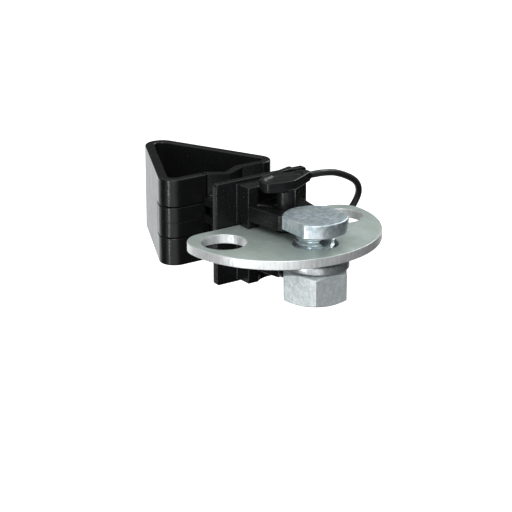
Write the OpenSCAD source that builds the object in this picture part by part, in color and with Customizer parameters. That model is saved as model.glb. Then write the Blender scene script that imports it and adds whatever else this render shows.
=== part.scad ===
// Wrap-round fence insulator for a steel T-post, with a drop pin, a gate
// anchor plate and a cross-drilled clamp bolt.
// Frame: x runs along the post flange, y runs back from the flange's front
// face, z is up, and z = 0 is the middle of the band.

/* [Post band] */
// Width of the post flange that the band holds
post_w = 33; // [28:0.5:40]
// Depth of the post from its front face to the back of its stem
post_depth = 35; // [30:0.5:42]
// Thickness of the post's stem
stem_t = 4; // [3:0.5:5]
// Height of the band
band_h = 28.5; // [22:0.5:36]
// Wall of the band
band_wall = 3; // [2.2:0.1:3.6]
// How far the middle of the band stands forward to clear the post's studs
stud_bump = 4; // [3:0.1:5]

/* [Body] */
// Width of the upright flange in front of the post
flange_w = 34; // [28:0.5:40]
// Height of the upright flange
flange_h = 32.8; // [30:0.2:38]
// Thickness of the upright flange
flange_t = 2.3; // [2:0.1:3.2]
// Distance from the post's face to the front of the upright flange
flange_reach = 24.2; // [22:0.2:27]
// Width of the box that the plate slides into
box_w = 19; // [17.6:0.2:21]
// Depth of that box in front of the upright flange
box_d = 6.2; // [5:0.2:7]
// Thickness of each pin ear
ear_t = 4.9; // [4:0.1:6]
// Width of the pin ears at their front ends
ear_tip_w = 14.6; // [13:0.2:16]
// How far the ears reach in front of the pin's axis
ear_nose = 7.4; // [6.6:0.1:8]
// Width of the neck between the flange and the band
neck_w = 16; // [14:0.5:17]
// Height of the neck
neck_h = 14; // [12:0.5:18]

/* [Gate anchor plate] */
// Thickness of the steel plate
plate_t = 3; // [2:0.1:4]
// Width of the plate
plate_w = 64; // [60:0.5:72]
// Depth of the plate from its straight rear edge to the front of its arc
plate_d = 40; // [38:0.5:44]
// Diameter of the gate hook holes and of the bolt hole
hole_d = 14; // [13:0.5:15]
// Distance between the two gate hook holes
hook_pitch = 44; // [40:0.5:48]

/* [Clamp bolt] */
// Nominal diameter of the bolt
bolt_d = 12; // [12:0.1:12.2]
// Diameter of the bolt's round head
head_d = 20; // [18:0.2:20.4]
// Thickness of the bolt's head
head_t = 4.5; // [3.5:0.1:5.5]
// Distance between the two flats on the head
head_flats = 16.6; // [14:0.2:18]
// Gap under the head that the fence cable goes into
cable_gap = 4.3; // [4.2:0.1:4.6]
// Diameter of the cable hole across the shank
cable_hole_d = 4; // [3:0.1:4]
// Width of the nut across its flats
nut_af = 19; // [18:0.1:19]
// Height of the nut
nut_h = 10; // [9:0.1:12]

/* [Lock pin] */
// Diameter of the pin's shaft
pin_d = 5.9; // [5:0.1:6]
// Distance from the bolt's axis to the pin's axis
pin_to_bolt = 15.2; // [15.2:0.1:16]
// Thickness of the pin's paddle head
paddle_t = 3; // [2.4:0.1:3.6]
// Thickness of the tether cord
cord_d = 2.2; // [2:0.1:2.4]

/* [Hidden] */
$fn = 64;

// Clearances
band_play = 1.5;
seam_gap = 0.1;
finger_gap = 0.15;
slot_play = 0.15;
rear_play = 0.5;
pin_play = 0.15;
thread_play = 0.1;
nut_sweep = 0.3;
head_sweep = 0.4;
washer_gap = 0.05;
rest_gap = 0.05;
cord_gap = 0.05;

// Band outline
band_half = post_w / 2 + band_play + band_wall;
band_back = post_depth + 1 + band_wall;
rear_r = stem_t / 2 + 0.6 + band_wall;
band_corner = 5;
side_from = 2.5;
bump_half = 7;
latch_x = -6.3;
finger_h = 10;
finger_reach = 6;
hinge_x = 15.5;
hinge_r = 0.4;
hinge_gap = 0.05;

// Levels of the plate and of what is stacked on it
plate_bottom = 1;
plate_top = plate_bottom + plate_t;
ear_gap_above = 2.65;
ear_gap_below = 4.4;
upper_ear_z = plate_top + ear_gap_above;
lower_ear_z = plate_bottom - ear_gap_below - ear_t;
box_mid = 1.7;
box_inset = 0.9;
box_top = box_mid + flange_h / 2 - box_inset;

// Depths, all in front of the post
flange_front = -flange_reach;
box_front = flange_front - box_d;
pin_y = flange_front - 12.6;
bolt_y = pin_y - pin_to_bolt;
plate_rear = flange_front - rear_play;
hook_y = plate_rear - 10.8;

// Bolt stack
washer_t = 2.5;
washer_free = 4.4;
washer_outer = 21;
washer_inner = bolt_d + 0.5;
shank_r = bolt_d / 2 - 0.05;
head_bottom = plate_top + cable_gap;
nut_top = plate_bottom - washer_free - washer_gap;
nut_bottom = nut_top - nut_h;
cable_z = head_bottom - cable_hole_d / 2 - 0.1;

// Pin
pin_r = pin_d / 2;
pin_bore_r = pin_r + pin_play;
recess_r = 8.6;
paddle_bottom = box_top + rest_gap;
paddle_top = paddle_bottom + paddle_t;
pin_tip = lower_ear_z - 2.75;
prong_x = 11.5;
prong_y = pin_y + 3.2;

// Tether boss on the flange's edge
boss_x = flange_w / 2 + 2;
boss_y = flange_front + flange_t / 2;
boss_z = -8.5;

// Route of the tether, from the pin's prong round to the flange's edge
tether_route = [
    [prong_x + cord_gap, prong_y, paddle_bottom + paddle_t / 2],
    [16.2, -33.4, 18.5],
    [22.5, -31.5, 17],
    [29.4, -29, 14],
    [34.9, -26.5, 10.5],
    [37.9, -24.2, 6.5],
    [38.2, -22.3, 2.5],
    [36.2, -21, -1.5],
    [32, -21, -5],
    [26, -22, -7.5],
    [boss_x, boss_y, boss_z],
];

// Outlines used by several nodes

module band_outline() {
    offset(r = band_corner) offset(r = -band_corner)
        hull() {
            translate([-band_half, -band_wall])
                square([2 * band_half, band_wall + side_from]);
            translate([0, band_back - rear_r]) circle(r = rear_r);
        }
}

module band_ring() {
    difference() {
        band_outline();
        offset(r = -band_wall) band_outline();
    }
}

// Part of the band's plan that is left of the latch line
module finger_plan(extra) {
    intersection() {
        band_ring();
        translate([-band_half - 1, -band_wall - 1])
            square([band_half + 1 + latch_x, band_wall + 1 + finger_reach + extra]);
    }
}

// Front wall of the body with the stud bump, open at the back
module front_wall_plan() {
    t = band_wall;
    polygon([
        [latch_x, -t], [-bump_half + 0.9, -t], [0, -t - stud_bump],
        [bump_half, -t], [hinge_x - seam_gap, -t], [hinge_x - seam_gap, 0],
        [bump_half - 0.8, 0], [0, -stud_bump + 0.2], [-bump_half + 1.6, 0], [latch_x, 0],
    ]);
}

module bump_hollow_plan() {
    polygon([
        [-bump_half + 1.6, 0.1], [-bump_half + 1.6, 0],
        [0, -stud_bump + 0.2], [bump_half - 0.8, 0], [bump_half - 0.8, 0.1],
    ]);
}

module rounded_plate(w, h, t, r) {
    rotate([90, 0, 0])
        linear_extrude(height = t, center = true)
            offset(r = r) square([w - 2 * r, h - 2 * r], center = true);
}

// Box in plan, with a round recess in its front that leaves room about the pin
module box_plan() {
    difference() {
        translate([-box_w / 2, box_front])
            square([box_w, flange_front + 0.5 - box_front]);
        translate([0, pin_y]) circle(r = recess_r);
    }
}

// One pin ear, cut back in front by the sweep of what turns on the bolt
module ear(z, sweep_r) {
    difference() {
        translate([0, 0, z])
            linear_extrude(height = ear_t)
                offset(r = 2) offset(delta = -2)
                    polygon([
                        [-ear_tip_w / 2, pin_y - ear_nose], [ear_tip_w / 2, pin_y - ear_nose],
                        [box_w / 2, box_front], [box_w / 2, flange_front + 1],
                        [-box_w / 2, flange_front + 1], [-box_w / 2, box_front],
                    ]);
        translate([0, bolt_y, z - 1]) cylinder(h = ear_t + 2, r = sweep_r);
        translate([0, pin_y, z - 1]) cylinder(h = ear_t + 2, r = pin_bore_r);
    }
}

// Neck with two grooves down each side
module neck() {
    groove_d = 2.2;
    groove_h = 3;
    back = -band_wall - 0.5;
    front = flange_front + flange_t - 0.5;
    difference() {
        translate([-neck_w / 2, front, -neck_h / 2]) cube([neck_w, back - front, neck_h]);
        for (side = [-1, 1], z = [-neck_h / 2 + 2.7, neck_h / 2 - 2.7 - groove_h])
            translate([side * neck_w / 2 - groove_d, front - 1, z])
                cube([2 * groove_d, back - front + 2, groove_h]);
    }
}

module insulator_body() {
    color("#161616") difference() {
        union() {
            translate([0, flange_front + flange_t / 2, box_mid])
                rounded_plate(flange_w, flange_h, flange_t, 1);
            translate([0, 0, box_top - flange_h + 2 * box_inset])
                linear_extrude(height = flange_h - 2 * box_inset) box_plan();
            ear(upper_ear_z, head_d / 2 + head_sweep);
            ear(lower_ear_z, nut_af / 2 / cos(30) + nut_sweep);
            neck();
            translate([0, 0, -band_h / 2])
                linear_extrude(height = band_h) front_wall_plan();
            translate([0, 0, -finger_h / 2])
                linear_extrude(height = finger_h) finger_plan(0);
            translate([hinge_x, -band_wall, -band_h / 2]) cylinder(h = band_h, r = hinge_r);
            translate([flange_w / 2 - 1.5, boss_y, boss_z])
                rotate([0, 90, 0]) cylinder(h = 3.5, d = 3.6);
        }
        translate([-box_w, box_front - 1, plate_bottom])
            cube([2 * box_w, flange_front - box_front + 1, plate_t + slot_play]);
        translate([0, 0, -band_h / 2 - 1])
            linear_extrude(height = band_h + 2) bump_hollow_plan();
    }
}

module post_strap() {
    color("#1b1b1b") difference() {
        translate([0, 0, -band_h / 2]) linear_extrude(height = band_h) band_ring();
        translate([latch_x - finger_gap, -band_wall - 1, -band_h])
            cube([hinge_x + seam_gap - latch_x + finger_gap, band_wall + 2, 2 * band_h]);
        translate([0, 0, -finger_h / 2 - finger_gap])
            linear_extrude(height = finger_h + 2 * finger_gap)
                offset(delta = 0.01) finger_plan(finger_gap);
        translate([hinge_x, -band_wall, -band_h])
            cylinder(h = 2 * band_h, r = hinge_r + hinge_gap);
    }
}

// Outline of the plate: a straight rear edge and one long arc
module plate_plan() {
    arc_r = plate_d - 8.6;
    offset(r = 8) offset(r = -8)
        intersection() {
            translate([0, plate_rear - plate_d + arc_r])
                scale([plate_w / 2 / arc_r, 1]) circle(r = arc_r, $fn = 120);
            translate([-plate_w, plate_rear - 2 * plate_d])
                square([2 * plate_w, 2 * plate_d]);
        }
}

module gate_anchor_plate() {
    color("#a9b0b0") difference() {
        translate([0, 0, plate_bottom]) linear_extrude(height = plate_t) plate_plan();
        for (side = [-1, 1])
            translate([side * hook_pitch / 2, hook_y, plate_bottom - 1])
                cylinder(h = plate_t + 2, d = hole_d);
        translate([0, bolt_y, plate_bottom - 1]) cylinder(h = plate_t + 2, d = hole_d);
        translate([0, pin_y, plate_bottom - 1]) cylinder(h = plate_t + 2, r = pin_r + 0.35);
    }
}

module clamp_bolt() {
    color("#b7c2ca") translate([0, bolt_y, 0]) difference() {
        union() {
            intersection() {
                translate([0, 0, head_bottom]) union() {
                    cylinder(h = head_t - 0.6, d = head_d);
                    translate([0, 0, head_t - 0.6])
                        cylinder(h = 0.6, d1 = head_d, d2 = head_d - 1.2);
                }
                translate([-head_flats / 2, -head_d, head_bottom - 1])
                    cube([head_flats, 2 * head_d, head_t + 2]);
            }
            translate([0, 0, nut_bottom])
                cylinder(h = head_bottom - nut_bottom + 1, r = shank_r);
        }
        translate([0, 0, cable_z]) rotate([90, 0, 0])
            cylinder(h = 2 * bolt_d, d = cable_hole_d, center = true);
    }
}

// Split ring that climbs over its turn, as an unloaded spring washer does
module lock_washer() {
    steps = 48;
    turn = 344;
    rise = washer_free - washer_t;
    low = plate_bottom - washer_free;
    points = [for (i = [0:steps]) let (a = -20 - turn * i / steps, z = low + rise * i / steps)
        each [
            [washer_inner / 2 * cos(a), washer_inner / 2 * sin(a), z],
            [washer_outer / 2 * cos(a), washer_outer / 2 * sin(a), z],
            [washer_outer / 2 * cos(a), washer_outer / 2 * sin(a), z + washer_t],
            [washer_inner / 2 * cos(a), washer_inner / 2 * sin(a), z + washer_t],
        ]];
    sides = [for (i = [0:steps - 1], k = [0:3]) each [
        [4 * i + k, 4 * i + (k + 1) % 4, 4 * i + 4 + (k + 1) % 4],
        [4 * i + k, 4 * i + 4 + (k + 1) % 4, 4 * i + 4 + k],
    ]];
    ends = [[3, 2, 1, 0], [for (k = [0:3]) 4 * steps + k]];
    color("#9aa3a6") translate([0, bolt_y, 0])
        polyhedron(points = points, faces = concat(sides, ends));
}

module hex_nut() {
    corner_r = nut_af / 2 / cos(30);
    bevel = 1.1;
    color("#aab2b4") translate([0, bolt_y, nut_bottom]) difference() {
        intersection() {
            rotate([0, 0, 55]) cylinder(h = nut_h, r = corner_r, $fn = 6);
            rotate_extrude()
                polygon([
                    [0, 0], [corner_r - bevel * 1.4, 0], [corner_r + 0.05, bevel],
                    [corner_r + 0.05, nut_h - bevel], [corner_r - bevel * 1.4, nut_h], [0, nut_h],
                ]);
        }
        translate([0, 0, -1]) cylinder(h = nut_h + 2, r = shank_r + thread_play);
    }
}

// Paddle head in plan: a thumb lobe on the left and a forked right end
module paddle_plan() {
    translate([0, pin_y]) offset(r = 0.6, $fn = 24) offset(delta = -0.6)
        polygon([
            [prong_x - 0.6, 2], [prong_x - 0.6, 4.4], [9.6, 5.4], [6.6, 5.3], [1.9, 6.9],
            [8.7, 7.9], [9.1, 10.3], [8.3, 10.6], [2.7, 8.9], [-4.6, 6.3], [-7, 4.4],
            [-8.2, 0.3], [-7.6, -1.3], [-2.1, -2.7], [1.3, -2.8], [4.9, -1.2],
        ]);
}

module lock_pin() {
    tip_h = 1.6;
    color("#141414") union() {
        translate([0, 0, paddle_bottom]) linear_extrude(height = paddle_t) paddle_plan();
        translate([prong_x - 3, prong_y, paddle_bottom + paddle_t / 2])
            rotate([0, 90, 0]) cylinder(h = 3, d = cord_d + 0.5);
        translate([0, pin_y, pin_tip + tip_h])
            cylinder(h = paddle_bottom + 0.5 - pin_tip - tip_h, r = pin_r);
        translate([0, pin_y, pin_tip]) cylinder(h = tip_h, r1 = pin_r - 1, r2 = pin_r);
    }
}

// Tube swept along a smooth curve through the route's points

function unit(v) = v / norm(v);

// Catmull-Rom point on span k of route p, with straight ends
function ghost(p, k) = k < 0 ? 2 * p[0] - p[1]
    : k >= len(p) ? 2 * p[len(p) - 1] - p[len(p) - 2] : p[k];
function on_curve(p, k, t) = let (
        a = ghost(p, k - 1), b = ghost(p, k), c = ghost(p, k + 1), d = ghost(p, k + 2))
    0.5 * (2 * b + (c - a) * t + (2 * a - 5 * b + 4 * c - d) * t * t
        + (3 * b - a - 3 * c + d) * t * t * t);
function route_curve(p, spans) = concat(
    [for (k = [0:len(p) - 2], i = [0:spans - 1]) on_curve(p, k, i / spans)],
    [p[len(p) - 1]]);

// Direction of travel at point i, square to the faces that the cord meets
function heading(c, i) = i == 0 ? [1, 0, 0]
    : i == len(c) - 1 ? [-1, 0, 0] : unit(c[i + 1] - c[i - 1]);

// A side direction carried along the curve without twisting
function carried(c, i, prev) = let (h = heading(c, i)) unit(prev - (prev * h) * h);
function carried_list(c, i = 0, prev = [0, 0, 1]) = i >= len(c) ? []
    : let (s = carried(c, i, prev)) concat([s], carried_list(c, i + 1, s));

module pin_tether() {
    sides = 8;
    curve = route_curve(tether_route, 3);
    up = carried_list(curve);
    last = len(curve) - 1;
    points = [for (i = [0:last]) let (h = heading(curve, i), across = cross(h, up[i]))
        each [for (k = [0:sides - 1]) let (a = 360 * k / sides)
            curve[i] + cord_d / 2 * (cos(a) * up[i] + sin(a) * across)]];
    skin = [for (i = [0:last - 1], k = [0:sides - 1]) let (n = (k + 1) % sides) each [
        [sides * i + k, sides * i + sides + k, sides * i + n],
        [sides * i + n, sides * i + sides + k, sides * i + sides + n],
    ]];
    ends = [[for (k = [0:sides - 1]) k], [for (k = [sides - 1:-1:0]) sides * last + k]];
    color("#101010") polyhedron(points = points, faces = concat(skin, ends));
}

insulator_body();
post_strap();
gate_anchor_plate();
clamp_bolt();
lock_washer();
hex_nut();
lock_pin();
pin_tether();
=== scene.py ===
import bpy, bmesh, math
from mathutils import Matrix, Vector


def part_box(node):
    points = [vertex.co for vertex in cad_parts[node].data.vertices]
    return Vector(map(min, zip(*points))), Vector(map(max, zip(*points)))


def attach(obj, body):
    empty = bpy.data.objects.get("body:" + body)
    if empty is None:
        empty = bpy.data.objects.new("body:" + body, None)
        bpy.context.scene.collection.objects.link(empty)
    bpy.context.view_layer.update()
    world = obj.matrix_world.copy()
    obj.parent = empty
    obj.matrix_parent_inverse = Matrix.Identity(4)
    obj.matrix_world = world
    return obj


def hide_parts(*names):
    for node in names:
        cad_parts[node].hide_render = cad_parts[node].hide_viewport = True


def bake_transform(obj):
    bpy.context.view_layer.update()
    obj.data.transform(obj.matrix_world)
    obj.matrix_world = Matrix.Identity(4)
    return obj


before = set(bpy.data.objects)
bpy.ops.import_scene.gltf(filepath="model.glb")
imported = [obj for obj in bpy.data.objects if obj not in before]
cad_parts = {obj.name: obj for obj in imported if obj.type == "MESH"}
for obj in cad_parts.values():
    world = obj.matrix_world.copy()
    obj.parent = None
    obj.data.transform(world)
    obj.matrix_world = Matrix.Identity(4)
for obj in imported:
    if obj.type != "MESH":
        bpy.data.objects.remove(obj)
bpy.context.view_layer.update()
mm = 0.001


# ---------- camera first, then the tether's route ----------

camera = {
    "stand": (-354.8, -527.6, 210.2),   # mm from the post's front face
    "yaw": 35.0,                        # degrees round to the front left
    "pitch": 19.53,
    "lens": 146.6,
}


def placeCamera():
    yaw, pitch = math.radians(camera["yaw"]), math.radians(camera["pitch"])
    along = Vector((math.sin(yaw) * math.cos(pitch), math.cos(yaw) * math.cos(pitch), -math.sin(pitch)))
    right = Vector((math.cos(yaw), -math.sin(yaw), 0))
    up = right.cross(along)
    data = bpy.data.cameras.new("camera")
    data.lens = camera["lens"]
    data.sensor_width = 36
    data.clip_start = 0.01
    seen = bpy.data.objects.new("camera", data)
    turn = Matrix((right, up, -along)).transposed().to_4x4()
    seen.matrix_world = Matrix.Translation(Vector(camera["stand"]) * mm) @ turn
    bpy.context.scene.collection.objects.link(seen)
    bpy.context.scene.camera = seen


placeCamera()
print("camera placed")


# ---------- shader wires ----------

class Wire:
    # a shader socket that can be used in sums
    def __init__(self, shader, socket):
        self.shader = shader
        self.socket = socket

    def maths(self, operation, *terms, clamp=False):
        settings = {"operation": operation, "use_clamp": clamp}
        return self.shader.node("ShaderNodeMath", settings, dict(enumerate(terms)))

    def __add__(self, other):
        return self.maths("ADD", self, other)

    def __sub__(self, other):
        return self.maths("SUBTRACT", self, other)

    def __rsub__(self, other):
        return self.maths("SUBTRACT", other, self)

    def __mul__(self, other):
        return self.maths("MULTIPLY", self, other)

    __radd__ = __add__
    __rmul__ = __mul__

    def clamped(self):
        return self.maths("ADD", self, 0, clamp=True)

    def between(self, low, high):
        # 0 at low, 1 at high, held at both ends
        return self.shader.node("ShaderNodeMapRange", {"interpolation_type": "SMOOTHSTEP"},
                                {"Value": self, "From Min": low, "From Max": high})


class Finish:
    # one material and the nodes that it is made of
    def __init__(self, name):
        self.material = bpy.data.materials.new(name)
        self.material.use_nodes = True
        self.tree = self.material.node_tree
        self.surface = self.tree.nodes["Principled BSDF"]
        self.place = self.node("ShaderNodeTexCoord", out="Object")

    def node(self, kind, settings=None, sockets=None, out=0):
        made = self.tree.nodes.new(kind)
        for key, value in (settings or {}).items():
            setattr(made, key, value)
        for key, value in (sockets or {}).items():
            if isinstance(value, Wire):
                self.tree.links.new(value.socket, made.inputs[key])
            else:
                made.inputs[key].default_value = value
        return Wire(self, made.outputs[out])

    def noise(self, scale, detail=3, rough=0.55, warp=0.0, place=None):
        # scale is in bumps per millimetre
        return self.node("ShaderNodeTexNoise", {}, {"Vector": place or self.place, "Scale": scale / mm,
                         "Detail": detail, "Roughness": rough, "Distortion": warp})

    def cells(self, scale, feature="F1", place=None, out="Distance"):
        return self.node("ShaderNodeTexVoronoi", {"feature": feature},
                         {"Vector": place or self.place, "Scale": scale / mm}, out=out)

    def stretched(self, x, y, z, turn=(0, 0, 0)):
        sockets = {"Vector": self.place, "Rotation": turn, "Scale": (x, y, z)}
        return self.node("ShaderNodeMapping", {}, sockets)

    def attribute(self, name):
        return self.node("ShaderNodeAttribute", {"attribute_name": name}, out="Fac")

    def colours(self, factor, first, second):
        # sockets 6 and 7 are the two colours of a mix
        first, second = ((*c, 1) if isinstance(c, tuple) else c for c in (first, second))
        return self.node("ShaderNodeMix", {"data_type": "RGBA"}, {0: factor, 6: first, 7: second}, out=2)

    def axis(self, which):
        return self.node("ShaderNodeSeparateXYZ", {}, {0: self.place}, out="XYZ".index(which))

    def bumps(self, *layers):
        # each layer is (height, how deep in millimetres)
        under = None
        for height, depth in layers:
            sockets = {"Height": height, "Strength": 1.0, "Distance": depth * mm}
            if under:
                sockets["Normal"] = under
            under = self.node("ShaderNodeBump", {}, sockets)
        return under

    def wear(self, colour=None, rough=None, metal=None, normal=None, **fixed):
        for key, value in fixed.items():
            self.surface.inputs[key.replace("_", " ")].default_value = value
        varying = {"Base Color": colour, "Roughness": rough, "Metallic": metal, "Normal": normal}
        for key, value in varying.items():
            if isinstance(value, Wire):
                self.tree.links.new(value.socket, self.surface.inputs[key])
            elif value is not None:
                self.surface.inputs[key].default_value = (*value, 1) if isinstance(value, tuple) else value
        return self.material


# ---------- finishes ----------

def blackMoulding(name, seamAt=None, gloss=0.3, base=0.001):
    # moulded black plastic with scuffs, flow swirls, a little dust and, if asked, a parting line
    f = Finish(name)
    swirl = f.noise(0.16, 4, 0.6, 1.2)
    grain = f.noise(3.2, 2, 0.7)
    scuffs = f.noise(1.1, 5, 0.75, 0.4, f.stretched(1, 1, 0.12, (0.35, 0.2, 0.5)))
    scratch = scuffs.between(0.6, 0.72)
    specks = 1 - f.cells(0.85).between(0.045, 0.085)
    specks = specks * f.noise(0.35, 1).between(0.5, 0.62)
    dusty = f.noise(0.42, 6, 0.8).between(0.52, 0.78)
    rubbed = f.attribute("edge").between(0.15, 0.8)
    black = f.colours(swirl, (base,) * 3, (base * 2.2, base * 2.2, base * 2.4))
    black = f.colours(dusty * 0.03 + scratch * 0.03, black, (0.09, 0.09, 0.085))
    black = f.colours(rubbed * 0.12, black, (0.05, 0.052, 0.055))
    black = f.colours(specks * 0.55, black, (0.30, 0.30, 0.28))
    rough = (swirl - 0.5) * 0.12 + gloss + dusty * 0.12 + scratch * 0.16 + specks * 0.3 + rubbed * 0.05
    layers = [(f.noise(0.55, 2, 0.5), 0.05), (grain, 0.006), (scratch, -0.006), (specks, 0.01)]
    if seamAt is not None:
        offLine = f.axis("Z") - seamAt * mm
        line = 1 - offLine.maths("ABSOLUTE", offLine).between(0.06 * mm, 0.16 * mm)
        layers.append((line, -0.12))
    return f.wear(black, rough.clamped(), 0.0, f.bumps(*layers), IOR=1.5, Specular_IOR_Level=0.32)


def galvanisedSheet(name):
    # hot dip galvanised sheet, dulled, with a bright torn band where it was sheared
    f = Finish(name)
    cloud = f.noise(0.11, 5, 0.62, 0.8)
    spangle = f.cells(0.42, "SMOOTH_F1")
    pepper = f.noise(1.9, 3, 0.8)
    pits = 1 - f.cells(1.25).between(0.06, 0.17)
    pits = pits * f.noise(0.5, 2).between(0.46, 0.6)
    cut = f.attribute("cut")
    tears = f.noise(1.6, 3, 0.7, 0.0, f.stretched(1, 1, 0.12))
    burr = f.attribute("edge").between(0.2, 0.8)
    grey = f.colours(cloud.between(0.3, 0.7), (0.22, 0.325, 0.265), (0.38, 0.50, 0.44))
    grey = f.colours(pepper.between(0.42, 0.7) * 0.4, grey, (0.52, 0.62, 0.57))
    grey = f.colours(spangle.between(0.2, 0.75) * 0.22, grey, (0.25, 0.31, 0.28))
    grey = f.colours(pits * 0.45, grey, (0.14, 0.15, 0.145))
    edgeTone = f.colours(tears.between(0.35, 0.65), (0.62, 0.64, 0.64), (0.86, 0.88, 0.88))
    grey = f.colours(cut, grey, edgeTone)
    grey = f.colours(burr * 0.35, grey, (0.82, 0.84, 0.83))
    rough = 0.52 + (cloud - 0.5) * 0.2 + pits * 0.1 - cut * 0.12 - burr * 0.08
    metal = 0.5 - pits * 0.2
    normal = f.bumps((f.noise(0.25, 3), 0.05), (pepper, 0.02), (pits, -0.03), (tears * cut, 0.10))
    return f.wear(grey, rough.clamped(), metal, normal)


def zincPlate(name, tint=(0.56, 0.66, 0.70), dull=0.38, lumps=0.035, shine=0.72):
    # zinc plating over forged steel: brighter than the sheet and slightly blue
    f = Finish(name)
    cloud = f.noise(0.2, 4, 0.6, 0.6)
    mottle = f.noise(0.75, 5, 0.75, 0.3)
    pepper = f.noise(2.6, 2, 0.7)
    pits = 1 - f.cells(1.5).between(0.05, 0.15)
    pits = pits * f.noise(0.6, 2).between(0.48, 0.62)
    rubbed = f.attribute("edge").between(0.2, 0.8)
    dark = tuple(c * 0.70 for c in tint)
    light = tuple(min(1, c * 1.22) for c in tint)
    grey = f.colours(mottle.between(0.36, 0.66), dark, light)
    grey = f.colours(cloud.between(0.35, 0.7) * 0.35, grey, (0.50, 0.535, 0.53))
    grey = f.colours(pits * 0.5, grey, (0.16, 0.18, 0.19))
    grey = f.colours(rubbed * 0.4, grey, (0.88, 0.91, 0.93))
    rough = dull + (mottle - 0.5) * 0.22 + pits * 0.15 - rubbed * 0.06
    normal = f.bumps((f.noise(0.33, 3, 0.5), lumps * 2), (mottle, lumps), (pepper, 0.012), (pits, -0.03))
    return f.wear(grey, rough.clamped(), shine - pits * 0.3, normal)


bodyBlack = blackMoulding("bodyBlack", seamAt=0.0, gloss=0.2)
strapBlack = blackMoulding("strapBlack", gloss=0.2)
pinBlack = blackMoulding("pinBlack", gloss=0.26)
cordBlack = blackMoulding("cordBlack", gloss=0.3, base=0.012)
sheetGalvanised = galvanisedSheet("sheetGalvanised")
boltZinc = zincPlate("boltZinc")
nutGalvanised = zincPlate("nutGalvanised", (0.62, 0.70, 0.70), 0.46, 0.10, 0.5)
washerZinc = zincPlate("washerZinc", (0.62, 0.65, 0.66), 0.32, 0.02)
print("finishes made")


# ---------- mesh helpers ----------

def addPiece(name, mesh, body, material, slot, *stoodFor):
    mesh.name = name
    piece = bpy.data.objects.new(name, mesh)
    bpy.context.scene.collection.objects.link(piece)
    mesh.materials.clear()
    mesh.materials.append(material)
    if body:
        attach(piece, body)
    if stoodFor:
        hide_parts(*stoodFor)
    return piece


def looseObject(name, mesh):
    made = bpy.data.objects.new(name, mesh)
    bpy.context.scene.collection.objects.link(made)
    return made


def settled(made):
    # the object's mesh with its modifiers carried out, and the object gone
    bpy.context.view_layer.update()
    mesh = bpy.data.meshes.new_from_object(made.evaluated_get(bpy.context.evaluated_depsgraph_get()))
    bpy.data.objects.remove(made)
    return mesh


def cadCopy(node, flat=1.0):
    # a node's triangles merged back into its real faces
    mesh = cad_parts[node].data.copy()
    b = bmesh.new()
    b.from_mesh(mesh)
    bmesh.ops.remove_doubles(b, verts=b.verts, dist=0.003 * mm)
    bmesh.ops.dissolve_limit(b, angle_limit=math.radians(flat), verts=b.verts, edges=b.edges)
    b.to_mesh(mesh)
    b.free()
    return mesh


def roundable(e, width, angle):
    # a corner sharp enough to round, with room for it at both of its ends
    if not e.is_manifold or e.calc_face_angle(0) < math.radians(angle):
        return False
    for v in e.verts:
        out = (e.other_vert(v).co - v.co).normalized()
        for other in v.link_edges:
            way = (other.other_vert(v).co - v.co)
            if other is not e and way.length < width * mm * 1.6 and way.normalized().dot(out) > -0.85:
                return False
    return True


def bevelled(mesh, width, segments=3, angle=28):
    b = bmesh.new()
    b.from_mesh(mesh)
    chosen = [float(roundable(e, width, angle)) for e in b.edges]
    b.free()
    mark = mesh.attributes.new("bevel_weight_edge", "FLOAT", "EDGE")
    mark.data.foreach_set("value", chosen)
    made = looseObject("bevelling", mesh)
    bevel = made.modifiers.new("edges", "BEVEL")
    bevel.width = width * mm
    bevel.segments = segments
    bevel.limit_method = "WEIGHT"
    bevel.use_clamp_overlap = False
    bevel.miter_outer = "MITER_SHARP"
    mesh = settled(made)
    mesh.attributes.remove(mesh.attributes["bevel_weight_edge"])
    return mesh


def carved(mesh, cutters, operation="DIFFERENCE"):
    made = looseObject("carving", mesh)
    tools = [looseObject("cutter", cutter) for cutter in cutters]
    for tool in tools:
        cut = made.modifiers.new("cut", "BOOLEAN")
        cut.operation = operation
        cut.solver = "EXACT"
        cut.object = tool
    mesh = settled(made)
    for tool in tools:
        bpy.data.objects.remove(tool)
    return mesh


def markEdges(mesh, sharp=20):
    # an attribute that is 1 along sharp or bevelled edges, for rubbed corners
    b = bmesh.new()
    b.from_mesh(mesh)
    values = []
    for v in b.verts:
        turn = max((e.calc_face_angle(0) for e in v.link_edges), default=0)
        values.append(min(1.0, math.degrees(turn) / sharp))
    b.free()
    mark = mesh.attributes.new("edge", "FLOAT", "POINT")
    mark.data.foreach_set("value", values)
    return mesh


def smoothShaded(mesh, angle=32):
    mesh.polygons.foreach_set("use_smooth", [True] * len(mesh.polygons))
    b = bmesh.new()
    b.from_mesh(mesh)
    for e in b.edges:
        e.smooth = e.calc_face_angle(0) < math.radians(angle)
    b.to_mesh(mesh)
    b.free()
    return mesh


def evenFaces(mesh):
    # shading follows the large flat faces, so only their rims look round
    made = looseObject("shading", mesh)
    split = made.modifiers.new("split", "TRIANGULATE")
    split.min_vertices = 5
    even = made.modifiers.new("even", "WEIGHTED_NORMAL")
    even.keep_sharp = True
    even.weight = 100
    return settled(made)


def finished(mesh, rub=20, crease=50):
    return evenFaces(smoothShaded(markEdges(mesh, rub), crease))


def outward(b):
    bmesh.ops.remove_doubles(b, verts=b.verts, dist=0.001 * mm)
    bmesh.ops.recalc_face_normals(b, faces=b.faces)


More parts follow.
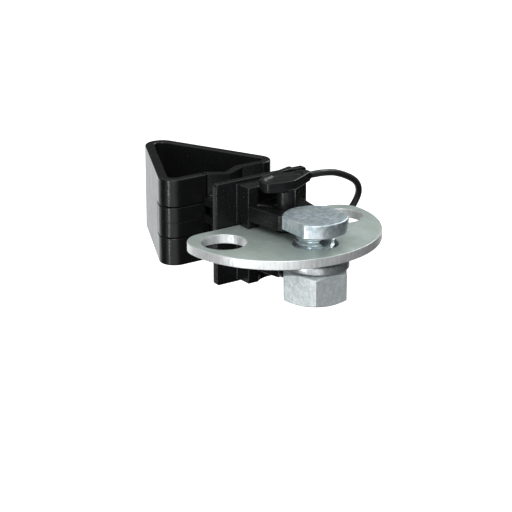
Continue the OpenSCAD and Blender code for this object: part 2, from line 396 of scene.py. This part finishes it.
def lathed(profile, steps=96, centre=(0, 0)):
    # a closed solid of revolution; the profile's ends are on the axis
    b = bmesh.new()
    rings = []
    for r, z in profile:
        if r == 0:
            rings.append([b.verts.new((centre[0] * mm, centre[1] * mm, z * mm))])
            continue
        rings.append([b.verts.new(((centre[0] + r * math.cos(2 * math.pi * k / steps)) * mm,
                                   (centre[1] + r * math.sin(2 * math.pi * k / steps)) * mm, z * mm))
                      for k in range(steps)])
    for low, high in zip(rings, rings[1:]):
        for k in range(steps):
            n = (k + 1) % steps
            corners = [low[k % len(low)], low[n % len(low)], high[n % len(high)], high[k % len(high)]]
            kept = [c for i, c in enumerate(corners) if c not in corners[:i]]
            if len(kept) > 2:
                b.faces.new(kept)
    outward(b)
    mesh = bpy.data.meshes.new("lathed")
    b.to_mesh(mesh)
    b.free()
    return mesh


def block(low, high):
    b = bmesh.new()
    bmesh.ops.create_cube(b, size=1)
    for v in b.verts:
        v.co = Vector([(low[i] + high[i]) / 2 + v.co[i] * (high[i] - low[i]) for i in range(3)]) * mm
    mesh = bpy.data.meshes.new("block")
    b.to_mesh(mesh)
    b.free()
    return mesh


def extruded(outline, low, high):
    # a prism over a plan outline, in millimetres
    b = bmesh.new()
    bottom = [b.verts.new((x * mm, y * mm, low * mm)) for x, y in outline]
    top = [b.verts.new((x * mm, y * mm, high * mm)) for x, y in outline]
    b.faces.new(bottom)
    b.faces.new(top)
    for k in range(len(outline)):
        n = (k + 1) % len(outline)
        b.faces.new((bottom[k], bottom[n], top[n], top[k]))
    outward(b)
    mesh = bpy.data.meshes.new("extruded")
    b.to_mesh(mesh)
    b.free()
    return mesh


# ---------- places, all from the frame ----------

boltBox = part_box("clamp_bolt")
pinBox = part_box("lock_pin")
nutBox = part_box("hex_nut")
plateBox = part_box("gate_anchor_plate")
boltAt = ((boltBox[0][0] + boltBox[1][0]) / 2 / mm, (boltBox[0][1] + boltBox[1][1]) / 2 / mm)
nutLow, nutHigh = nutBox[0][2] / mm, nutBox[1][2] / mm
headTop = boltBox[1][2] / mm
pinTip = [v.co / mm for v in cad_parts["lock_pin"].data.vertices if v.co.z < pinBox[0][2] + 0.1 * mm]
pinAt = tuple((min(p[i] for p in pinTip) + max(p[i] for p in pinTip)) / 2 for i in (0, 1))
plateLow = plateBox[0][2] / mm


# ---------- tether cord ----------

tether = {
    "route": [(11.55, -33.6, 18.75), (16.2, -33.4, 18.5), (22.5, -31.5, 17), (29.4, -29, 14),
              (34.9, -26.5, 10.5), (37.9, -24.2, 6.5), (38.2, -22.3, 2.5), (36.2, -21, -1.5),
              (32, -21, -5), (26, -22, -7.5), (19, -23.05, -8.5)],
    "thick": 2.15,
    "steps": 8,
    "sides": 24,
}


def curveThrough(route, steps):
    points = [Vector(p) for p in route]
    ends = [2 * points[0] - points[1]] + points + [2 * points[-1] - points[-2]]
    line = []
    for k in range(len(points) - 1):
        a, b, c, d = ends[k:k + 4]
        for i in range(steps):
            t = i / steps
            line.append(0.5 * (2 * b + (c - a) * t + (2 * a - 5 * b + 4 * c - d) * t * t
                               + (3 * b - a - 3 * c + d) * t ** 3))
    return line + [points[-1]]


def makeTether():
    line = curveThrough(tether["route"], tether["steps"])
    b = bmesh.new()
    radius, side, rings = tether["thick"] / 2, Vector((0, 0, 1)), []
    for i, p in enumerate(line):
        along = (line[min(i + 1, len(line) - 1)] - line[max(i - 1, 0)]).normalized()
        if i == 0:
            along = Vector((1, 0, 0))
        if i == len(line) - 1:
            along = Vector((-1, 0, 0))
        side = (side - side.dot(along) * along).normalized()
        across = along.cross(side)
        angles = [2 * math.pi * k / tether["sides"] for k in range(tether["sides"])]
        rings.append([b.verts.new((p + radius * (math.cos(a) * side + math.sin(a) * across)) * mm)
                      for a in angles])
    for low, high in zip(rings, rings[1:]):
        for k in range(tether["sides"]):
            n = (k + 1) % tether["sides"]
            b.faces.new((low[k], low[n], high[n], high[k]))
    b.faces.new(rings[0])
    b.faces.new(rings[-1])
    outward(b)
    mesh = bpy.data.meshes.new("tether")
    b.to_mesh(mesh)
    b.free()
    path = [p * mm for p in line]
    length = sum((q - p).length for p, q in zip(path, path[1:]))
    mesh = smoothShaded(markEdges(mesh), 60)
    piece = addPiece("tetherCord", mesh, None, cordBlack, "pin_plastic", "pin_tether")
    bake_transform(piece)
    print("tether", round(length / mm, 1), "mm")


makeTether()


# ---------- black body and strap ----------

body = {"corner": 0.32}


def makeBody():
    mesh = finished(bevelled(cadCopy("insulator_body"), body["corner"]))
    addPiece("insulatorMoulding", mesh, "insulator", bodyBlack, "body_plastic", "insulator_body")


strap = {"corner": 0.45}


def makeStrap():
    mesh = finished(bevelled(cadCopy("post_strap"), strap["corner"]))
    addPiece("strapMoulding", mesh, "strap", strapBlack, "body_plastic", "post_strap")


makeBody()
makeStrap()
print("mouldings made")


# ---------- gate anchor plate ----------

plate = {"corner": 0.28, "cornerSteps": 2}


def makePlate():
    # the "cut" attribute is 1 on what the press sheared: the outer edge and the holes' walls
    mesh = bevelled(cadCopy("gate_anchor_plate"), plate["corner"], plate["cornerSteps"])
    markEdges(mesh)
    cut = mesh.attributes.new("cut", "FLOAT", "POINT")
    b = bmesh.new()
    b.from_mesh(mesh)
    sides = [float(any(abs(f.normal.z) < 0.5 for f in v.link_faces)) for v in b.verts]
    b.free()
    cut.data.foreach_set("value", sides)
    mesh = evenFaces(smoothShaded(mesh, 60))
    addPiece("anchorPlate", mesh, "insulator", sheetGalvanised, "galvanised_plate", "gate_anchor_plate")


makePlate()
print("plate made")


# ---------- bolt, nut and washer ----------

bolt = {"major": 5.93, "minor": 5.05, "pitch": 1.75, "around": 72, "perTurn": 10,
        "headRadius": 10, "headThick": 4.5, "flatAt": 8.3, "rim": 0.45, "crown": 0.08,
        "cableHole": 2.0, "cableBelow": 0.1, "corner": 0.35}


def roundBolt(r, angle, z):
    # a point at a radius and an angle about the bolt's axis
    return Vector((boltAt[0] + r * math.cos(angle), boltAt[1] + r * math.sin(angle), z)) * mm


def threadTree():
    # a shank whose radius follows a 60 degree thread, from a plain tube grid
    tree = bpy.data.node_groups.new("threadedShank", "GeometryNodeTree")
    face = tree.interface
    for name in ("Major", "Minor", "Pitch", "Length"):
        face.new_socket(name, in_out="INPUT", socket_type="NodeSocketFloat")
    for name in ("Around", "Rows"):
        face.new_socket(name, in_out="INPUT", socket_type="NodeSocketInt")
    face.new_socket("Finish", in_out="INPUT", socket_type="NodeSocketMaterial")
    face.new_socket("Geometry", in_out="OUTPUT", socket_type="NodeSocketGeometry")
    into, out = tree.nodes.new("NodeGroupInput"), tree.nodes.new("NodeGroupOutput")

    def node(kind, sockets=None, **settings):
        made = tree.nodes.new(kind)
        for key, value in settings.items():
            setattr(made, key, value)
        for key, value in (sockets or {}).items():
            if isinstance(value, bpy.types.NodeSocket):
                tree.links.new(value, made.inputs[key])
            else:
                made.inputs[key].default_value = value
        return made.outputs

    def maths(operation, *terms):
        return node("ShaderNodeMath", dict(enumerate(terms)), operation=operation)[0]

    tube = node("GeometryNodeMeshCylinder", {
        "Vertices": into.outputs["Around"], "Side Segments": into.outputs["Rows"],
        "Radius": into.outputs["Major"], "Depth": into.outputs["Length"]}, fill_type="NGON")
    place = node("GeometryNodeInputPosition")[0]
    x, y, z = node("ShaderNodeSeparateXYZ", {0: place})
    turn = maths("DIVIDE", maths("ARCTAN2", y, x), 2 * math.pi)
    phase = maths("FRACT", maths("SUBTRACT", maths("DIVIDE", z, into.outputs["Pitch"]), turn))
    # the wave is 0 in the middle of a crest and 1 in the middle of a groove
    wave = maths("ABSOLUTE", maths("SUBTRACT", maths("MULTIPLY", phase, 2.0), 1.0))
    flank = node("ShaderNodeMapRange", {"Value": wave, "From Min": 0.16, "From Max": 0.8})[0]
    radius = maths("SUBTRACT", into.outputs["Major"],
                   maths("MULTIPLY", flank, maths("SUBTRACT", into.outputs["Major"], into.outputs["Minor"])))
    flat = node("ShaderNodeCombineXYZ", {"X": x, "Y": y})[0]
    aim = node("ShaderNodeVectorMath", {0: flat}, operation="NORMALIZE")[0]
    rim = node("ShaderNodeVectorMath", {0: aim, "Scale": radius}, operation="SCALE")[0]
    lift = node("ShaderNodeCombineXYZ", {"Z": z})[0]
    lifted = node("ShaderNodeVectorMath", {0: rim, 1: lift}, operation="ADD")[0]
    moved = node("GeometryNodeSetPosition", {"Geometry": tube["Mesh"], "Position": lifted})[0]
    whole = node("GeometryNodeRealizeInstances", {"Geometry": moved})[0]
    done = node("GeometryNodeSetMaterial", {"Geometry": whole, "Material": into.outputs["Finish"]})[0]
    tree.links.new(done, out.inputs[0])
    return tree


def threadedShank(low, high):
    made = looseObject("shank", bpy.data.meshes.new("shank"))
    grow = made.modifiers.new("thread", "NODES")
    grow.node_group = threadTree()
    length = high - low
    wanted = {"Major": bolt["major"] * mm, "Minor": bolt["minor"] * mm, "Pitch": bolt["pitch"] * mm,
              "Length": length * mm, "Around": bolt["around"],
              "Rows": round(length / bolt["pitch"] * bolt["perTurn"]), "Finish": boltZinc}
    for item in grow.node_group.interface.items_tree:
        if item.in_out == "INPUT":
            grow[item.identifier] = wanted[item.name]
    mesh = settled(made)
    mesh.transform(Matrix.Translation(Vector((boltAt[0], boltAt[1], (low + high) / 2)) * mm))
    return mesh


def makeBolt():
    r, low, high = bolt["headRadius"], headTop - bolt["headThick"], headTop
    rim, beyond = bolt["rim"], r + 2
    arc = [(r - rim + rim * math.sin(a), high - bolt["crown"] - rim + rim * math.cos(a))
           for a in (math.pi / 2 * k / 4 for k in range(5))]
    profile = [(0, high), (r / 2, high), (0.8 * r, high - bolt["crown"] / 2)] + arc
    head = lathed(profile + [(r, low + 0.3), (r - 0.3, low), (0, low)], 128, boltAt)
    flats = []
    for side in (-1, 1):
        across = sorted(boltAt[0] + side * reach for reach in (bolt["flatAt"], bolt["flatAt"] + beyond))
        flats.append(block((across[0], boltAt[1] - beyond, low - 1),
                           (across[1], boltAt[1] + beyond, high + 1)))
    head = bevelled(carved(head, flats), bolt["corner"], 3, 40)
    shank = threadedShank(nutLow + 0.05, low + 0.6)
    whole = carved(head, [shank], "UNION")
    drill = lathed([(0, -8), (bolt["cableHole"], -8), (bolt["cableHole"], 8), (0, 8)], 40)
    drillAt = Vector((boltAt[0], boltAt[1], low - bolt["cableBelow"] - bolt["cableHole"])) * mm
    drill.transform(Matrix.Translation(drillAt) @ Matrix.Rotation(math.pi / 2, 4, "X"))
    whole = finished(carved(whole, [drill]), 60, 35)
    addPiece("cableBolt", whole, "bolt", boltZinc, "zinc_bolt", "clamp_bolt")


nut = {"acrossFlats": 19.0, "bore": 6.03, "countersink": 0.6, "countersinkDeep": 0.7, "chamfer": 1.05,
       "land": 8.9, "turn": 55, "perSide": 16, "corner": 0.18}


def makeNut():
    # rings of points round the nut; the chamfer's arcs come from where its cone meets the flats
    flat, corner = nut["acrossFlats"] / 2, nut["acrossFlats"] / 2 / math.cos(math.pi / 6)
    steps = nut["perSide"] * 6
    slope = nut["chamfer"] / (corner - nut["land"])
    mouth, deep = nut["bore"] + nut["countersink"], nut["countersinkDeep"]
    b = bmesh.new()
    rings = [[] for _ in range(8)]
    for k in range(steps):
        side = 2 * math.pi / 6
        a = 2 * math.pi * k / steps
        reach = flat / math.cos((a % side) - side / 2)
        drop = max(0.02, (reach - nut["land"]) * slope)
        shape = [(nut["bore"], nutLow + deep), (mouth, nutLow), (nut["land"], nutLow),
                 (reach, nutLow + drop), (reach, nutHigh - drop),
                 (nut["land"], nutHigh), (mouth, nutHigh), (nut["bore"], nutHigh - deep)]
        turned = a + math.radians(nut["turn"])
        for ring, (r, z) in zip(rings, shape):
            ring.append(b.verts.new(roundBolt(r, turned, z)))
    for low, high in zip(rings, rings[1:] + rings[:1]):
        for k in range(steps):
            n = (k + 1) % steps
            b.faces.new((low[k], low[n], high[n], high[k]))
    outward(b)
    mesh = bpy.data.meshes.new("nut")
    b.to_mesh(mesh)
    b.free()
    mesh = finished(bevelled(mesh, nut["corner"], 2, 24), 20, 40)
    addPiece("clampNut", mesh, "nut", nutGalvanised, "galvanised_nut", "hex_nut")


washer = {"inner": 6.3, "outer": 10.45, "thick": 2.5, "rise": 1.9, "turn": 344, "from": -20, "corner": 0.35,
          "steps": 120}


def makeWasher():
    # a rounded square wire wound once round the bolt, its far end touching the plate
    half, c = washer["thick"] / 2, washer["corner"]
    low = plateLow - washer["thick"] - washer["rise"]
    middle, wide = (washer["inner"] + washer["outer"]) / 2, (washer["outer"] - washer["inner"]) / 2
    corners = ((wide - c, half - c), (c - wide, half - c), (c - wide, c - half), (wide - c, c - half))
    section = []
    for quarter, (u, v) in enumerate(corners):
        for q in (0, 30, 60, 90):
            a = math.radians(90 * quarter + q)
            section.append((u + c * math.cos(a), v + c * math.sin(a)))
    b = bmesh.new()
    rings = []
    for i in range(washer["steps"] + 1):
        a = math.radians(washer["from"] - washer["turn"] * i / washer["steps"])
        z = low + half + washer["rise"] * i / washer["steps"]
        rings.append([b.verts.new(roundBolt(middle + u, a, z + v)) for u, v in section])
    for near, far in zip(rings, rings[1:]):
        for k in range(len(section)):
            n = (k + 1) % len(section)
            b.faces.new((near[k], near[n], far[n], far[k]))
    b.faces.new(rings[0])
    b.faces.new(rings[-1])
    outward(b)
    mesh = bpy.data.meshes.new("washer")
    b.to_mesh(mesh)
    b.free()
    mesh = smoothShaded(markEdges(mesh, 60), 40)
    addPiece("springWasher", mesh, "insulator", washerZinc, "spring_steel", "lock_washer")


makeBolt()
makeNut()
makeWasher()
print("bolt stack made")


# ---------- lock pin ----------

# the outlines are in millimetres from the pin's axis
pin = {
    "outline": [(10.9, 2), (10.9, 4.4), (9.6, 5.4), (6.6, 5.3), (1.9, 6.9), (8.7, 7.9), (9.1, 10.3),
                (8.3, 10.6), (2.7, 8.9), (-4.6, 6.3), (-7, 4.4), (-8.2, 0.3), (-7.6, -1.3), (-2.1, -2.7),
                (1.3, -2.8), (4.9, -1.2)],
    "thumb": [(-6.6, 1.2), (-5.9, -0.4), (-1.9, -1.5), (1.1, -1.6), (4.3, -0.2), (9.3, 2.7), (9.5, 3.8),
              (6.3, 4.3), (1.2, 6.2), (-0.4, 6.6), (-4.0, 5.2), (-6.0, 3.6)],
    "thumbMiddle": (1.0, 2.4), "floorShare": 0.86, "mouthShare": 1.06,
    "shaft": 2.93, "tip": 1.6, "paddle": 3.0, "dish": 0.8, "boss": 1.35, "bossLong": 2.95, "corner": 0.32,
}


def roundedOutline(points, radius, steps=5):
    # every corner cut by an arc that touches both of its sides
    out = []
    for k, corner in enumerate(points):
        c = Vector(corner)
        before, after = Vector(points[k - 1]) - c, Vector(points[(k + 1) % len(points)]) - c
        half = before.angle(after) / 2
        reach = min(radius / math.tan(half), 0.46 * before.length, 0.46 * after.length)
        a, b = c + before.normalized() * reach, c + after.normalized() * reach
        for i in range(steps + 1):
            t = i / steps
            out.append(tuple((1 - t) ** 2 * a + 2 * t * (1 - t) * c + t * t * b))
    return out


def layered(layers):
    # a closed solid through outlines of equal count, each at its own height
    b = bmesh.new()
    rings = [[b.verts.new((x * mm, y * mm, z * mm)) for x, y in outline] for outline, z in layers]
    count = len(rings[0])
    for low, high in zip(rings, rings[1:]):
        for k in range(count):
            n = (k + 1) % count
            b.faces.new((low[k], low[n], high[n], high[k]))
    b.faces.new(rings[0])
    b.faces.new(rings[-1])
    bmesh.ops.recalc_face_normals(b, faces=b.faces)
    bmesh.ops.triangulate(b, faces=[f for f in b.faces if len(f.verts) > 4])
    mesh = bpy.data.meshes.new("layered")
    b.to_mesh(mesh)
    b.free()
    return mesh


def scaled(points, share):
    middle = Vector(pin["thumbMiddle"])
    return [tuple(middle + (Vector(p) - middle) * share) for p in points]


def aboutPin(points):
    return [(x + pinAt[0], y + pinAt[1]) for x, y in points]


def makePin():
    # a paddle with a raised rim round a thumb dish, on a plain shaft with a lead-in tip
    top, low = pinBox[1][2] / mm, pinBox[0][2] / mm
    under = top - pin["paddle"]
    thumb = roundedOutline(pin["thumb"], 1.6)
    dish = layered([(aboutPin(scaled(thumb, pin["floorShare"])), top - pin["dish"]),
                    (aboutPin(thumb), top - 0.2),
                    (aboutPin(scaled(thumb, pin["mouthShare"])), top + 0.3)])
    paddle = carved(extruded(aboutPin(roundedOutline(pin["outline"], 1.0)), under, top), [dish])
    r, t = pin["shaft"], pin["tip"]
    leadIn = [(0, low), (r - 1.0, low), (r - 0.85, low + 0.12), (r - 0.1, low + t - 0.15), (r, low + t + 0.2)]
    root = [(r, under - 0.7), (r + 0.15, under - 0.3), (r + 0.55, under + 0.3), (0, under + 0.6)]
    shaft = lathed(leadIn + root, 64, pinAt)
    wide, long = pin["boss"], pin["bossLong"]
    boss = lathed([(0, 0), (wide, 0), (wide, long - 0.25), (wide - 0.25, long), (0, long)], 32)
    bossAt = Vector(tether["route"][0]) - Vector((long + 0.05, 0, 0))
    boss.transform(Matrix.Translation(bossAt * mm) @ Matrix.Rotation(math.pi / 2, 4, "Y"))
    mesh = finished(bevelled(carved(paddle, [shaft, boss], "UNION"), pin["corner"], 3, 30))
    addPiece("dropPin", mesh, "pin", pinBlack, "pin_plastic", "lock_pin")


makePin()
print("pin made")


# ---------- floor, light ----------

studio = {
    "floor": -120,      # its height in millimetres
    "floorReach": 6000,
    "floorGlow": 0.55,
    "dim": 0.025,        # how bright the room is where no panel stands
    "overhead": 0.78,
    "behind": 1.3,
    "left": 1.2,
}


def makeWorld():
    # a dim room with pale paper overhead, low down behind, and at the front left
    world = bpy.data.worlds.new("studioAir")
    world.use_nodes = True
    tree = world.node_tree

    def node(kind, settings, *terms):
        made = tree.nodes.new(kind)
        for key, value in settings.items():
            setattr(made, key, value)
        for key, value in enumerate(terms):
            if isinstance(value, bpy.types.NodeSocket):
                tree.links.new(value, made.inputs[key])
            else:
                made.inputs[key].default_value = value
        return made.outputs

    def held(value, low, high):
        return node("ShaderNodeMapRange", {"interpolation_type": "SMOOTHSTEP"}, value, low, high)[0]

    def maths(operation, *terms):
        return node("ShaderNodeMath", {"operation": operation}, *terms)[0]

    aim = tree.nodes.new("ShaderNodeTexCoord").outputs["Generated"]
    height = node("ShaderNodeSeparateXYZ", {}, aim)[2]
    toBack = node("ShaderNodeVectorMath", {"operation": "DOT_PRODUCT"}, aim, (0.25, 0.95, 0))["Value"]
    toLeft = node("ShaderNodeVectorMath", {"operation": "DOT_PRODUCT"}, aim, (-0.76, -0.62, -0.2))["Value"]
    over = maths("MULTIPLY", held(height, 0.25, 0.8), studio["overhead"])
    low = maths("MULTIPLY", held(height, 0.1, -0.2), held(toBack, 0.4, 0.85))
    left = maths("MULTIPLY", held(toLeft, 0.62, 0.92), studio["left"])
    light = maths("ADD", over, maths("MULTIPLY", low, studio["behind"]))
    light = maths("ADD", maths("ADD", light, left), studio["dim"])
    tree.links.new(light, tree.nodes["Background"].inputs["Strength"])
    tree.nodes["Background"].inputs["Color"].default_value = (0.97, 0.99, 1, 1)
    bpy.context.scene.world = world


def makeStudio():
    reach, level = studio["floorReach"], studio["floor"]
    floor = looseObject("studioFloor", block((-reach, -reach, level - 5), (reach, reach, level)))
    floor.visible_glossy = False
    floor.visible_diffuse = False
    paper = Finish("studioPaper")
    white = paper.wear((0.9, 0.9, 0.9), 0.9, 0.0, Emission_Color=(1, 1, 1, 1),
                       Emission_Strength=studio["floorGlow"])
    floor.data.materials.append(white)
    makeWorld()
    for name, at, aim, size, power in (
            ("keyPanel", (-420, -620, 620), (0, -40, 0), (420, 420), 4),
            ("lowStrip", (-760, -260, -60), (0, -10, 0), (60, 500), 2),
            ("sidePanel", (700, 200, 500), (0, -40, 0), (400, 400), 2.5)):
        data = bpy.data.lights.new(name, "AREA")
        data.shape = "RECTANGLE"
        data.size, data.size_y = size[0] * mm, size[1] * mm
        data.energy = power
        lamp = bpy.data.objects.new(name, data)
        bpy.context.scene.collection.objects.link(lamp)
        lamp.location = Vector(at) * mm
        lamp.rotation_euler = (Vector(aim) - Vector(at)).to_track_quat("-Z", "Y").to_euler()
    bpy.context.scene.view_settings.view_transform = "Standard"


makeStudio()
print("studio made")
